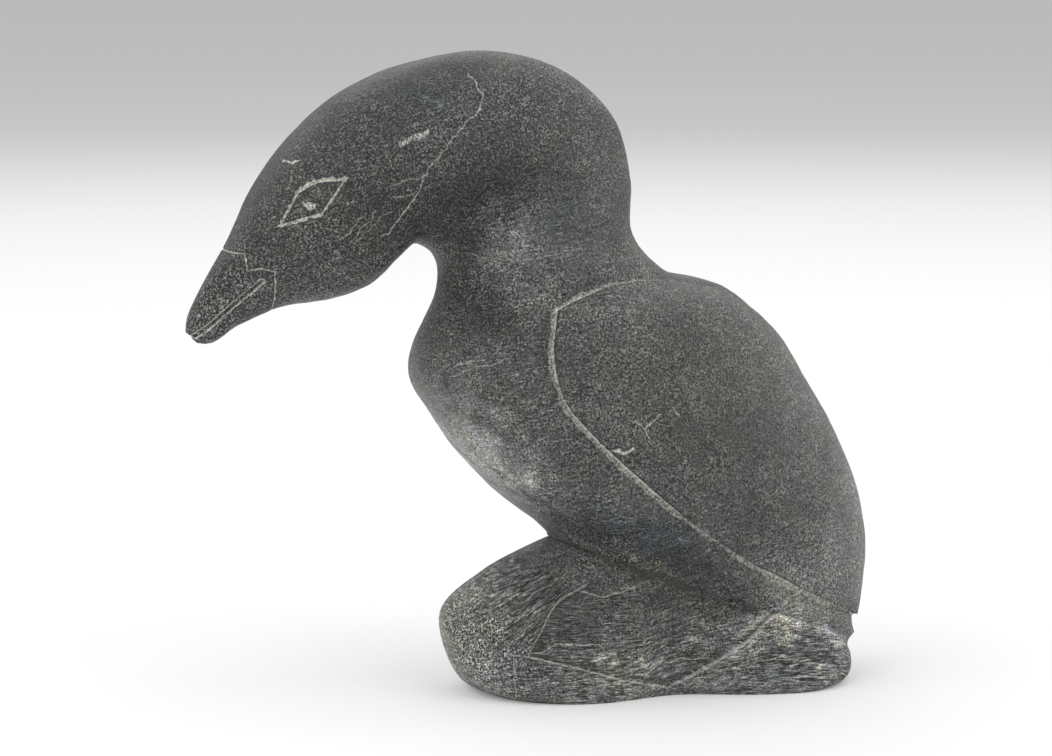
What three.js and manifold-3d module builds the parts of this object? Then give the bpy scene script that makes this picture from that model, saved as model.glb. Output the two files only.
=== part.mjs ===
// A stooping bird on its low rounded base, carved from one block of soapstone.
// Millimetres, +Z up. The bill points to -X, Y runs across, and both sides mirror each other in Y = 0.
// The origin is in the flat underside, below the middle of the base.
import * as THREE from "three";
import { mergeVertices } from "three/addons/utils/BufferGeometryUtils.js";
import Module from "manifold-3d";

const wasm = await Module();
wasm.setup();

// ---------------------------------------------------------------- driving dimensions
const RING_SEGMENTS = 36; // facets round each cross-section
const STATION_STEP = 5.3; // longest gap between cross-sections
const CURVE_STEP = 3.2; // facet length along a carved outline
const HALF_BLOCK = 45; // reach of a cutting prism to each side of Y = 0
const FAR = 160; // clear of the whole carving

const WING_BEVEL_DEPTH = 1.5; // the neck and flank are cut back this far along the wing's border
const WING_BEVEL_WIDTH = 6; // sloping back out to the full form over this distance
const BACK_STRIP_DEPTH = 0.7; // the strip of back left between the wings lies this far below them
const BACK_GROOVE_DEPTH = 1.3; // shallow groove where the two wings meet along the spine
const BACK_GROOVE_HALF = 2.4;
const CHEEK_VALLEY_DEPTH = 1.2; // soft dip between cheek and neck
const CHEEK_VALLEY_HALF = 6;
const SCOOP_DEPTH = 3.6; // hollow between knee and heel, under the flank
const SCOOP_SLOPE = 9; // distance from its edge at which the hollow has its full depth
const SCOOP_WALL = 0.8; // crisp step at the hollow's edge
const HEEL_RISE = 1.4; // swell of the heel, the rear lobe of the base
const HEEL_HALF = 8;
const PINCH = 0.28; // the base narrows by this share of its width between knee and heel, at the ground
const PINCH_X = -4;
const PINCH_HALF = 15;
const PINCH_TOP = 18; // height at which the narrowing has run out
const LINE_DEPTH = 0.5; // incised lines of the eye and bill
const LINE_WIDTH = 0.9;
const PUPIL_RADIUS = 1;

// Cross-sections from the bill's tip to the underside. Each is a rounded outline in the plane through its
// "under" and "over" points [x, z] and the Y direction: "half" is its half width, "widest" how far along
// from under to over that width lies, and "blunt" the roundness at the under end, over end and sides
// (1 is elliptical, less is squarer).
const RIBS = [
  { at: "nib", under: [-110.6, 83], over: [-113.2, 85.6], half: 1.4, widest: 0.5, blunt: [0.8, 0.8, 0.8] },
  { at: "tip", under: [-108.8, 82.8], over: [-113, 87.2], half: 2.4, widest: 0.5, blunt: [0.8, 0.8, 0.8] },
  { at: "bill", under: [-102, 86.5], over: [-109.5, 95], half: 4, widest: 0.5, blunt: [0.85, 0.7, 0.75] },
  { at: "bill base", under: [-92, 90.5], over: [-103, 105.5],
    half: 7.5, widest: 0.5, blunt: [0.85, 0.65, 0.75] },
  { at: "eye", under: [-80.5, 92], over: [-96, 118.5], half: 12.5, widest: 0.5, blunt: [0.85, 0.65, 0.75] },
  { at: "cheek", under: [-72, 95], over: [-88.5, 128], half: 15.5, widest: 0.5, blunt: [0.85, 0.7, 0.8] },
  { at: "hind cheek", under: [-66, 100], over: [-76.5, 138],
    half: 17, widest: 0.5, blunt: [0.9, 0.75, 0.85] },
  { at: "crown", under: [-62, 103.5], over: [-61.5, 144], half: 17.5, widest: 0.5, blunt: [0.9, 0.9, 0.9] },
  { at: "arch", under: [-58.5, 103], over: [-43, 146.5],
    half: 16.5, widest: 0.52, blunt: [0.9, 0.9, 0.95] },
  { at: "nape", under: [-55.5, 100.5], over: [-26, 142], half: 15, widest: 0.55, blunt: [0.9, 1, 1] },
  { at: "throat", under: [-54.5, 96.5], over: [-14, 131.5], half: 14, widest: 0.55, blunt: [0.9, 1, 1] },
  { at: "neck", under: [-55.5, 90.5], over: [-9.5, 116.5], half: 15.5, widest: 0.55, blunt: [0.95, 1, 1] },
  { at: "low neck", under: [-58, 85], over: [-9.5, 105], half: 19.5, widest: 0.55, blunt: [0.95, 1, 1] },
  { at: "shoulder", under: [-60.1, 79.5], over: [-2.5, 96.5],
    half: 24, widest: 0.57, blunt: [0.95, 0.95, 0.95] },
  { at: "breast", under: [-60.5, 72.5], over: [12, 92],
    half: 27.5, widest: 0.58, blunt: [0.95, 0.9, 0.9] },
  { at: "chest", under: [-56, 64.5], over: [22.7, 83.7], half: 30, widest: 0.58, blunt: [0.95, 0.9, 0.88] },
  { at: "flank", under: [-49, 54.5], over: [32.2, 69.7], half: 31, widest: 0.57, blunt: [0.95, 0.9, 0.88] },
  { at: "belly", under: [-39.5, 45], over: [40, 56], half: 31, widest: 0.56, blunt: [0.95, 0.9, 0.88] },
  { at: "vent", under: [-31, 38.5], over: [45.5, 41.5], half: 29.5, widest: 0.56, blunt: [0.95, 0.9, 0.9] },
  { at: "rump", under: [-28, 35.5], over: [47.6, 28], half: 27, widest: 0.55, blunt: [0.95, 0.9, 0.92] },
  { at: "tail", under: [-28, 35], over: [47, 17.5], half: 25, widest: 0.53, blunt: [0.95, 0.9, 0.95] },
  { at: "waist", under: [-27.5, 34.5], over: [45.9, 9.2],
    half: 23.5, widest: 0.5, blunt: [0.95, 0.9, 0.95] },
  { at: "knee top", under: [-32.8, 32.2], over: [43.8, 8.6],
    half: 23.5, widest: 0.5, blunt: [0.9, 0.75, 0.9] },
  { at: "knee", under: [-43.4, 27.3], over: [42.4, 6.9], half: 24, widest: 0.6, blunt: [0.8, 0.65, 0.9] },
  { at: "toe", under: [-53.6, 18.2], over: [43.6, 5], half: 25, widest: 0.7, blunt: [0.65, 0.9, 0.9] },
  { at: "low toe", under: [-52.5, 9], over: [43, 2.6], half: 25.5, widest: 0.78, blunt: [0.55, 0.9, 0.9] },
  { at: "sole edge", under: [-49, 2.5], over: [41.2, 0.8], half: 25.5, widest: 0.8, blunt: [0.5, 0.85, 0.9] },
  { at: "sole", under: [-44, 0], over: [37.5, 0], half: 25, widest: 0.8, blunt: [0.5, 0.75, 0.9] },
];
const CREASE_RIB = "waist"; // the body meets the base here in a sharp crease

// The border of a folded wing as [x, distance from Y = 0, z] points of smooth curves: its top line runs
// from the corner on the shoulder along the back to the spine, its edge from the same corner to the tail.
const WING_CORNER = [-33.7, 22, 90.5];
const WING_TOP = [WING_CORNER, [-23.6, 21, 94.1], [-10, 16.2, 95.3], [-2.5, 11.2, 94.7], [6, 10.8, 92.8],
  [14, 10.2, 89.5], [24, 8.5, 81], [32, 5, 69.7], [37, 0, 61.8]];
const WING_EDGE = [WING_CORNER, [-35.6, 25, 81], [-33.8, 26, 71], [-28, 27.5, 63], [-16.6, 29, 52],
  [-2, 29, 40], [13, 27, 30], [30, 21, 21.2], [46, 6, 13.4]];

// Carved lines on the sides, as [x, z] points of smooth curves.
const CHEEK_VALLEY = [[-48, 111], [-38, 116.5], [-30.5, 121], [-25, 128]];
const HEEL_AXIS = [[4, 5], [22, 12], [34, 9]];
const SCOOP_ARC = [[-39.8, 11.3], [-37.6, 15.5], [-32.6, 22.9], [-25.5, 27], [-16, 28.4], [-8, 30]];
const SCOOP_TOP = [[-8, 30], [6, 25.5], [25, 19.5]];
const SCOOP_HEEL = [[25, 19.5], [18, 18], [10.9, 12.8], [4, 8.4], [-2.8, 3.9], [-6.3, 2]];
const SCOOP_TOE = [[-6.3, 2], [-19.4, 5.5], [-25, 7.4], [-39.8, 11.3]];
const EYE = [[-94.3, 109.6], [-90.4, 117.4], [-86.5, 119.6], [-80.6, 120.2], [-85.6, 112.4]];
const PUPIL = [-88.2, 114.3];
const BILL_BORDER = [
  [[-108, 104], [-101.2, 103.3]],
  [[-101.2, 103.3], [-100.7, 99.5]],
  [[-100.7, 99.5], [-94.9, 99.4]],
  [[-94.9, 99.4], [-94.1, 86]],
];
const MOUTH_LINE = [[-116, 81.4], [-108.3, 87.4], [-97, 97.6]];

// ---------------------------------------------------------------- curves and distances
const smoothStep = (t) => {
  const u = Math.min(1, Math.max(0, t));
  return u * u * (3 - 2 * u);
};
const hill = (t) => Math.exp(-t * t);

// Points about CURVE_STEP apart on a smooth curve through [x, z] or [x, across, z] points. Two points
// make a straight line in one step.
function curvePoints(points) {
  const corners = points.map((p) => new THREE.Vector3(p[0], p.length > 2 ? p[1] : 0, p.at(-1)));
  const curve = new THREE.CatmullRomCurve3(corners);
  return curve.getSpacedPoints(points.length > 2 ? Math.round(curve.getLength() / CURVE_STEP) : 1);
}

function distanceToLine(point, line) {
  const nearest = new THREE.Vector3();
  const steps = line.slice(1).map((end, i) => new THREE.Line3(line[i], end));
  return Math.min(...steps.map((step) => step.closestPointToPoint(point, true, nearest).distanceTo(point)));
}

function isInside({ x, z }, outline) {
  let inside = false;
  outline.forEach((a, i) => {
    const b = outline[(i + 1) % outline.length];
    if (a.z > z !== b.z > z && x < a.x + ((z - a.z) / (b.z - a.z)) * (b.x - a.x)) inside = !inside;
  });
  return inside;
}

// ---------------------------------------------------------------- relief
const wingTop = curvePoints(WING_TOP);
const wingEdge = curvePoints(WING_EDGE);
const wingBorder = [...wingTop.toReversed(), ...wingEdge.slice(1)];
const flat = ([x, z]) => new THREE.Vector3(x, 0, z);
// The wing lies behind its edge as seen from the side, and below its top line as seen along a line that
// leans out at 45 degrees, square to the shoulder.
const leaning = (p) => flat([p.x, (p.z - Math.abs(p.y)) * Math.SQRT1_2]);
const farBehind = [[FAR, wingEdge.at(-1).z - 4], [FAR, FAR], [wingEdge[0].x, FAR]].map(flat);
const behindEdge = [...wingEdge, ...farBehind];
const topLine = wingTop.map(leaning);
const farBelow = [[FAR, FAR], [FAR, -FAR], [-FAR, -FAR], [-FAR, topLine[0].z]].map(flat);
const belowTop = [...topLine, ...farBelow];
const cheekValley = curvePoints(CHEEK_VALLEY);
const scoopSides = [SCOOP_HEEL, SCOOP_TOE, SCOOP_ARC].map(curvePoints);
const scoopOutline = [...scoopSides, curvePoints(SCOOP_TOP)].flatMap((side) => side.slice(1));
const aboveScoop = [SCOOP_ARC.at(-1)[0], SCOOP_HEEL[0][0]].map((x) => flat([x, FAR]));
const scoopField = [...scoopSides.flat(), ...aboveScoop];
const heelAxis = curvePoints(HEEL_AXIS);

// The share of the strip's depth at a point of the upper back: all of it between and just under the wings.
function backStrip(x, y, z) {
  const beside = 1 - smoothStep((Math.abs(y) - 12) / 4);
  return smoothStep((x - 2) / 8) * smoothStep((z - 62) / 8) * beside;
}

// How far the stone's surface is moved out along its normal, at a point of the plain form.
function bodyRelief(x, y, z) {
  const strip = backStrip(x, y, z);
  return strip * -BACK_STRIP_DEPTH + (1 - strip) * flankRelief(x, y, z);
}

function flankRelief(x, y, z) {
  const here = new THREE.Vector3(x, Math.abs(y), z);
  const seen = flat([x, z]);
  if (isInside(seen, behindEdge) && isInside(leaning(here), belowTop)) return -WING_BEVEL_DEPTH;
  const fromWing = distanceToLine(here, wingBorder);
  const fromValley = distanceToLine(seen, cheekValley);
  const fromHeel = distanceToLine(seen, heelAxis);
  const bevel = WING_BEVEL_DEPTH * (1 - smoothStep(fromWing / WING_BEVEL_WIDTH));
  const valley = CHEEK_VALLEY_DEPTH * hill(fromValley / CHEEK_VALLEY_HALF);
  return HEEL_RISE * hill(fromHeel / HEEL_HALF) - bevel - valley;
}

const wingRelief = (x, y) => -BACK_GROOVE_DEPTH * (1 - smoothStep(Math.abs(y) / BACK_GROOVE_HALF));

function scoopRelief(x, y, z) {
  const seen = flat([x, z]);
  if (!isInside(seen, scoopField)) return -SCOOP_WALL;
  const reach = Math.min(...scoopSides.map((side) => distanceToLine(seen, side)));
  return -SCOOP_WALL - (SCOOP_DEPTH - SCOOP_WALL) * smoothStep(reach / SCOOP_SLOPE);
}

// ---------------------------------------------------------------- the lofted form
const ribValues = (rib) => [...rib.under, ...rib.over, rib.half, rib.widest, ...rib.blunt];

// Cubic blending of the rib values with continuous slope, with stations no further apart than STATION_STEP.
function runOfStations(ribs) {
  const rows = ribs.map(ribValues);
  const gaps = rows.slice(1).map((row, i) => {
    const under = Math.hypot(row[0] - rows[i][0], row[1] - rows[i][1]);
    const over = Math.hypot(row[2] - rows[i][2], row[3] - rows[i][3]);
    return { mean: (under + over) / 2, steps: Math.ceil(Math.max(under, over) / STATION_STEP) };
  });
  const chordSlope = (k, c) => (rows[k + 1][c] - rows[k][c]) / gaps[k].mean;
  const slope = (k, c) => {
    if (k === 0) return chordSlope(0, c);
    if (k === gaps.length) return chordSlope(k - 1, c);
    const before = gaps[k - 1].mean;
    const after = gaps[k].mean;
    return (chordSlope(k - 1, c) * after + chordSlope(k, c) * before) / (before + after);
  };
  const stations = [];
  gaps.forEach(({ mean, steps }, k) => {
    for (let i = 0; i < steps; i++) {
      const t = i / steps;
      const rise = t * t * (3 - 2 * t);
      stations.push(
        rows[k].map(
          (value, c) =>
            value +
            (rows[k + 1][c] - value) * rise +
            mean * t * (1 - t) * ((1 - t) * slope(k, c) - t * slope(k + 1, c)),
        ),
      );
    }
  });
  return [...stations, rows.at(-1)];
}

function ringPoints([underX, underZ, overX, overZ, half, widest, bluntUnder, bluntOver, bluntSide]) {
  return Array.from({ length: RING_SEGMENTS }, (_, i) => {
    const angle = (2 * Math.PI * i) / RING_SEGMENTS;
    const c = Math.cos(angle);
    const s = Math.sin(angle);
    const along = c >= 0 ? widest + (1 - widest) * c ** bluntOver : widest - widest * (-c) ** bluntUnder;
    const x = underX + (overX - underX) * along;
    const z = underZ + (overZ - underZ) * along;
    const pinch = PINCH * hill((x - PINCH_X) / PINCH_HALF) * (1 - smoothStep(z / PINCH_TOP));
    return [x, half * Math.sign(s) * Math.abs(s) ** bluntSide * (1 - pinch), z];
  });
}

const creaseAt = RIBS.findIndex((rib) => rib.at === CREASE_RIB);
const bodyStations = runOfStations(RIBS.slice(0, creaseAt + 1));
const STATIONS = [...bodyStations, ...runOfStations(RIBS.slice(creaseAt)).slice(1)];

// The closed form through all the rings, with every point moved out by relief(x, y, z). The sole stays flat.
function loft(relief) {
  const rings = STATIONS.map(ringPoints);
  const hub = (ring, offset) => [ring.reduce((sum, p) => sum + p[0], 0) / ring.length, offset, ring[0][2]];
  const { under, over } = RIBS[0];
  const tip = [(under[0] + over[0]) / 2, 0, (under[1] + over[1]) / 2];
  const points = [...rings.flat(), tip, hub(rings.at(-1), 4)]; // the sole's hub stands beside the origin
  const n = RING_SEGMENTS;
  const faces = [];
  for (let i = 0; i < n; i++) {
    const j = (i + 1) % n;
    const last = (rings.length - 1) * n;
    faces.push([rings.length * n, i, j], [rings.length * n + 1, last + j, last + i]);
    for (let k = 0; k < last; k += n) faces.push([k + i, k + n + i, k + n + j], [k + i, k + n + j, k + j]);
  }
  const plain = new THREE.BufferGeometry();
  plain.setAttribute("position", new THREE.Float32BufferAttribute(points.flat(), 3));
  plain.setIndex(faces.flat());
  plain.computeVertexNormals();
  const normal = plain.getAttribute("normal");
  const moved = points.map(([x, y, z], i) => {
    if (z === 0) return [x, y, z];
    const by = relief(x, y, z);
    return [x + by * normal.getX(i), y + by * normal.getY(i), z + by * normal.getZ(i)];
  });
  plain.setAttribute("position", new THREE.Float32BufferAttribute(moved.flat(), 3));
  return solid(plain);
}

// ---------------------------------------------------------------- solids
function solid(geometry) {
  const bare = geometry.clone();
  bare.deleteAttribute("normal");
  bare.deleteAttribute("uv");
  const merged = mergeVertices(bare, 1e-4);
  const vertProperties = new Float32Array(merged.getAttribute("position").array);
  const triVerts = new Uint32Array(merged.index.array);
  return new wasm.Manifold(new wasm.Mesh({ numProp: 3, vertProperties, triVerts }));
}

// A prism with an [x, z] outline, reaching equally far to both sides of Y = 0.
function prismGeometry(outline, reach) {
  const shape = new THREE.Shape(outline.map((p) => new THREE.Vector2(p.x, p.z)));
  const geometry = new THREE.ExtrudeGeometry(shape, { depth: 2 * reach, bevelEnabled: false });
  return geometry.rotateX(Math.PI / 2).translate(0, reach, 0);
}

const prism = (outline) => solid(prismGeometry(outline, HALF_BLOCK));

// A line of LINE_WIDTH along [x, z] points, as a prism.
function strokePrism(points) {
  const line = curvePoints(points);
  const side = (sign) =>
    line.map((p, i) => {
      const a = line[Math.max(0, i - 1)];
      const b = line[Math.min(line.length - 1, i + 1)];
      const across = new THREE.Vector3(a.z - b.z, 0, b.x - a.x).setLength((sign * LINE_WIDTH) / 2);
      return p.clone().add(across);
    });
  return prism([...side(1), ...side(-1).reverse()]);
}

function pupilPrism() {
  const drill = new THREE.CylinderGeometry(PUPIL_RADIUS, PUPIL_RADIUS, 2 * HALF_BLOCK, 8);
  return solid(drill.translate(PUPIL[0], 0, PUPIL[1]));
}

// Everything on one side of Y = 0 (side -1 or 1) that lies below that wing's top line.
function belowWingTop(side) {
  const below = solid(prismGeometry(belowTop, FAR).rotateX((side * Math.PI) / 4));
  const half = new THREE.BoxGeometry(2 * FAR, FAR, 2 * FAR).translate(0, (side * FAR) / 2, 0);
  return below.intersect(solid(half));
}

function wingSolids() {
  const belowTops = belowWingTop(-1).add(belowWingTop(1));
  return loft(wingRelief).intersect(prism(behindEdge)).intersect(belowTops);
}

function birdSolid() {
  const scoops = prism(scoopOutline).subtract(loft(scoopRelief));
  const eyeSides = EYE.map((corner, i) => [corner, EYE[(i + 1) % EYE.length]]);
  const strokes = [...eyeSides, MOUTH_LINE, ...BILL_BORDER].map(strokePrism);
  const marks = [...strokes, pupilPrism()].reduce((all, one) => all.add(one));
  const lines = marks.subtract(loft(() => -LINE_DEPTH));
  return loft(bodyRelief).add(wingSolids()).subtract(scoops).subtract(lines);
}

function toGeometry(manifold) {
  const { vertProperties, triVerts } = manifold.getMesh();
  const geometry = new THREE.BufferGeometry();
  geometry.setAttribute("position", new THREE.BufferAttribute(vertProperties, 3));
  geometry.setIndex(new THREE.BufferAttribute(triVerts, 1));
  geometry.computeVertexNormals();
  return geometry;
}

const soapstone = new THREE.MeshStandardMaterial({ color: 0x4b4d4c, roughness: 0.5, metalness: 0 });
const bird = new THREE.Mesh(toGeometry(birdSolid()), soapstone);
bird.name = "bird_carving";

const carving = new THREE.Group();
carving.add(bird);
export default carving;
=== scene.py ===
"""A soapstone carving of a stooping bird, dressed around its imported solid.

Lengths in the tables below are millimetres in the frame of the solid: the bill points to -X, the bird's left
side faces -Y, +Z is up and the underside lies in Z = 0. Blender's objects are in metres.
"""

import math

import bpy
import numpy as np
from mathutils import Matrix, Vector


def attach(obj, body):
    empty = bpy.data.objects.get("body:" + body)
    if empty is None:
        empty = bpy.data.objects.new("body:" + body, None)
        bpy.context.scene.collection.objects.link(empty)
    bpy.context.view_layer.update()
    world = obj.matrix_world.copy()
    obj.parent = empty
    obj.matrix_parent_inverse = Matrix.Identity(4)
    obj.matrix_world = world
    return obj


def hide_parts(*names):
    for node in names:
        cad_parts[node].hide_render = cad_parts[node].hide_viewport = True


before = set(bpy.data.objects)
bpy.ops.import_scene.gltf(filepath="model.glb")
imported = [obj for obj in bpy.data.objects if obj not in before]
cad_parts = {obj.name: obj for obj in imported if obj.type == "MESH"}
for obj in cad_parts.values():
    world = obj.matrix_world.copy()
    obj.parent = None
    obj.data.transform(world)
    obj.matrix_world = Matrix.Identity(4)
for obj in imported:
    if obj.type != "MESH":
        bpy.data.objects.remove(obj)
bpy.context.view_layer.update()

MM = 0.001
rng = np.random.default_rng(7)

# ---------------------------------------------------------------- the plain form
# Cross-sections from the bill's tip to the underside: (under x, z), (over x, z), half width, how far along
# from under to over that width lies, and the roundness at the under end, over end and sides.
RIBS = np.array([
    # under          over           half  widest  blunt
    (-110.6, 83.0, -113.2, 85.6, 1.4, 0.50, 0.80, 0.80, 0.80),  # nib
    (-108.8, 82.8, -113.0, 87.2, 2.4, 0.50, 0.80, 0.80, 0.80),  # tip
    (-102.0, 86.5, -109.5, 95.0, 4.0, 0.50, 0.85, 0.70, 0.75),  # bill
    (-92.0, 90.5, -103.0, 105.5, 7.5, 0.50, 0.85, 0.65, 0.75),  # bill base
    (-80.5, 92.0, -96.0, 118.5, 12.5, 0.50, 0.85, 0.65, 0.75),  # eye
    (-72.0, 95.0, -88.5, 128.0, 15.5, 0.50, 0.85, 0.70, 0.80),  # cheek
    (-66.0, 100.0, -76.5, 138.0, 17.0, 0.50, 0.90, 0.75, 0.85),  # hind cheek
    (-62.0, 103.5, -61.5, 144.0, 17.5, 0.50, 0.90, 0.90, 0.90),  # crown
    (-58.5, 103.0, -43.0, 146.5, 16.5, 0.52, 0.90, 0.90, 0.95),  # arch
    (-55.5, 100.5, -26.0, 142.0, 15.0, 0.55, 0.90, 1.00, 1.00),  # nape
    (-54.5, 96.5, -14.0, 131.5, 14.0, 0.55, 0.90, 1.00, 1.00),  # throat
    (-55.5, 90.5, -9.5, 116.5, 15.5, 0.55, 0.95, 1.00, 1.00),  # neck
    (-58.0, 85.0, -9.5, 105.0, 19.5, 0.55, 0.95, 1.00, 1.00),  # low neck
    (-60.1, 79.5, -2.5, 96.5, 24.0, 0.57, 0.95, 0.95, 0.95),  # shoulder
    (-60.5, 72.5, 12.0, 92.0, 27.5, 0.58, 0.95, 0.90, 0.90),  # breast
    (-56.0, 64.5, 22.7, 83.7, 30.0, 0.58, 0.95, 0.90, 0.88),  # chest
    (-49.0, 54.5, 32.2, 69.7, 31.0, 0.57, 0.95, 0.90, 0.88),  # flank
    (-39.5, 45.0, 40.0, 56.0, 31.0, 0.56, 0.95, 0.90, 0.88),  # belly
    (-31.0, 38.5, 45.5, 41.5, 29.5, 0.56, 0.95, 0.90, 0.90),  # vent
    (-28.0, 35.5, 47.6, 28.0, 27.0, 0.55, 0.95, 0.90, 0.92),  # rump
    (-28.0, 35.0, 47.0, 17.5, 25.0, 0.53, 0.95, 0.90, 0.95),  # tail
    (-27.5, 34.5, 45.9, 9.2, 23.5, 0.50, 0.95, 0.90, 0.95),  # waist
    (-32.8, 32.2, 43.8, 8.6, 23.5, 0.50, 0.90, 0.75, 0.90),  # knee top
    (-43.4, 27.3, 42.4, 6.9, 24.0, 0.60, 0.80, 0.65, 0.90),  # knee
    (-53.6, 18.2, 43.6, 5.0, 25.0, 0.70, 0.65, 0.90, 0.90),  # toe
    (-52.5, 9.0, 43.0, 2.6, 25.5, 0.78, 0.55, 0.90, 0.90),  # low toe
    (-49.0, 2.5, 41.2, 0.8, 25.5, 0.80, 0.50, 0.85, 0.90),  # sole edge
    (-44.0, 0.0, 37.5, 0.0, 25.0, 0.80, 0.50, 0.75, 0.90),  # sole
])
WAIST = 21  # the body meets the base in a sharp crease at this rib
PINCH, PINCH_X, PINCH_HALF, PINCH_TOP = 0.28, -4.0, 15.0, 18.0  # the base narrows between knee and heel

# ---------------------------------------------------------------- carved lines
# The border of a folded wing as (x, distance from Y = 0, z): its top line, and its edge down to the tail.
WING_TOP = [(-33.7, 22, 90.5), (-23.6, 21, 94.1), (-10, 16.2, 95.3), (-2.5, 11.2, 94.7), (6, 10.8, 92.8),
            (14, 10.2, 89.5), (24, 8.5, 81), (32, 5, 69.7), (37, 0, 61.8)]
WING_EDGE = [(-33.7, 22, 90.5), (-35.6, 25, 81), (-33.8, 26, 71), (-28, 27.5, 63), (-16.6, 29, 52),
             (-2, 29, 40), (13, 27, 30), (30, 21, 21.2), (46, 6, 13.4)]
# The other lines as (x, z), seen from the side.
CHEEK_VALLEY = [(-48, 111), (-38, 116.5), (-30.5, 121), (-25, 128)]
HEEL_AXIS = [(4, 5), (22, 12), (34, 9)]
HEEL_ARCH = [(8, 11), (14.9, 17.2), (18.3, 18.8), (24.7, 18.3), (30.5, 15.2), (35.5, 9.9)]
SCOOP_ARC = [(-39.8, 11.3), (-37.6, 15.5), (-32.6, 22.9), (-25.5, 27), (-16, 28.4), (-8, 30)]
SCOOP_HEEL = [(25, 19.5), (18, 18), (10.9, 12.8), (4, 8.4), (-2.8, 3.9), (-6.3, 2)]
SCOOP_TOE = [(-6.3, 2), (-19.4, 5.5), (-25, 7.4), (-39.8, 11.3)]
TOE_LINE = [(-42.6, 11.6), (-39.8, 11.3), (-25, 7.4), (-19.4, 5.5), (-6.3, 2)]
CORNER_LINE = [(-42.6, 11.6), (-42.3, 5.8), (-41.3, 1)]
CREASE = [(-27.5, 34.5), (45.9, 9.2)]
EYE = [(-94.3, 109.6), (-90.4, 117.4), (-86.5, 119.6), (-80.6, 120.2), (-85.6, 112.4), (-94.3, 109.6)]
PUPIL = (-88.2, 114.3)
BILL_BORDER = [(-108, 104), (-101.2, 103.3), (-100.7, 99.5), (-97.6, 100), (-94.9, 99.2), (-94.5, 95),
               (-94.1, 86)]
MOUTH = [(-116, 81.4), (-108.3, 87.4), (-102, 93), (-97.4, 97.2)]


def smooth(t):
    t = np.clip(t, 0, 1)
    return t * t * (3 - 2 * t)


def hill(t):
    return np.exp(-t * t)


def mix(a, b, share):
    return a + (b - a) * share


def curve(points, step=0.8):
    """Points about a step apart on the centripetal Catmull-Rom curve through the given ones."""
    p = np.array(points, float)
    p = np.vstack([2 * p[0] - p[1], p, 2 * p[-1] - p[-2]])
    dt = np.sqrt(np.linalg.norm(np.diff(p, axis=0), axis=1))
    out = []
    for i in range(1, len(p) - 2):
        a, b, c, d = p[i - 1:i + 3]
        t0, t1, t2 = dt[i - 1:i + 2]
        start = ((b - a) / t0 - (c - a) / (t0 + t1) + (c - b) / t1) * t1
        end = ((c - b) / t1 - (d - b) / (t1 + t2) + (d - c) / t2) * t1
        u = np.linspace(0, 1, max(2, int(np.linalg.norm(c - b) / step) + 1), endpoint=False)[:, None]
        out.append(mix(b, c, u * u * (3 - 2 * u)) + u * (1 - u) * ((1 - u) * start - u * end))
    return np.vstack([*out, p[-2][None]])


def distance(points, line, reach=9.0, signed=False):
    """Distance from each point to a polyline; beyond its reach it is only known to be larger than that.

    Signed, it is negative on the right of a flat line as it runs.
    """
    best = np.full(len(points), float(reach))
    low, high = line.min(0) - reach, line.max(0) + reach
    near = np.flatnonzero(((points >= low) & (points <= high)).all(1))
    p = points[near]
    found, turn = np.full(len(p), float(reach)), np.ones(len(p))
    for a, b in zip(line[:-1], line[1:]):
        ab, off = b - a, p - a
        t = np.clip(off @ ab / (ab @ ab), 0, 1)
        gap = np.linalg.norm(off - t[:, None] * ab, axis=1)
        if signed:
            closer = gap < found
            turn[closer] = np.where(ab[0] * off[closer, 1] < ab[1] * off[closer, 0], -1, 1)
        np.minimum(found, gap, out=found)
    best[near] = found * turn
    return best


def around(line, half):
    """The outline half a width off a flat line, open at the line's start."""
    along = np.gradient(line, axis=0)
    along /= np.linalg.norm(along, axis=1, keepdims=True)
    across = half * np.stack([-along[:, 1], along[:, 0]], 1)
    return np.vstack([line + across, line[-1] + 0.8 * half * along[-1], (line - across)[::-1]])


def inside(points, outline):
    """Whether each 2-D point lies in a closed outline."""
    hit = np.zeros(len(points), bool)
    x, z = points.T
    for (ax, az), (bx, bz) in zip(outline, np.roll(outline, -1, axis=0)):
        if az != bz:
            hit ^= ((az > z) != (bz > z)) & (x < ax + (z - az) / (bz - az) * (bx - ax))
    return hit


# ---------------------------------------------------------------- the loft
def gap_slopes():
    """For each gap between ribs: its length, and the rib values' slopes at its start and end."""
    under = np.linalg.norm(np.diff(RIBS[:, 0:2], axis=0), axis=1)
    over = np.linalg.norm(np.diff(RIBS[:, 2:4], axis=0), axis=1)
    length = (under + over) / 2
    chord = np.diff(RIBS, axis=0) / length[:, None]
    at_rib = np.empty_like(RIBS)
    at_rib[0], at_rib[-1] = chord[0], chord[-1]
    before, after = length[:-1, None], length[1:, None]
    at_rib[1:-1] = (chord[:-1] * after + chord[1:] * before) / (before + after)
    start, end = at_rib[:-1].copy(), at_rib[1:].copy()
    end[WAIST - 1], start[WAIST] = chord[WAIST - 1], chord[WAIST]
    return length, np.maximum(under, over), start, end


GAP, GAP_REACH, SLOPE_START, SLOPE_END = gap_slopes()


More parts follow.
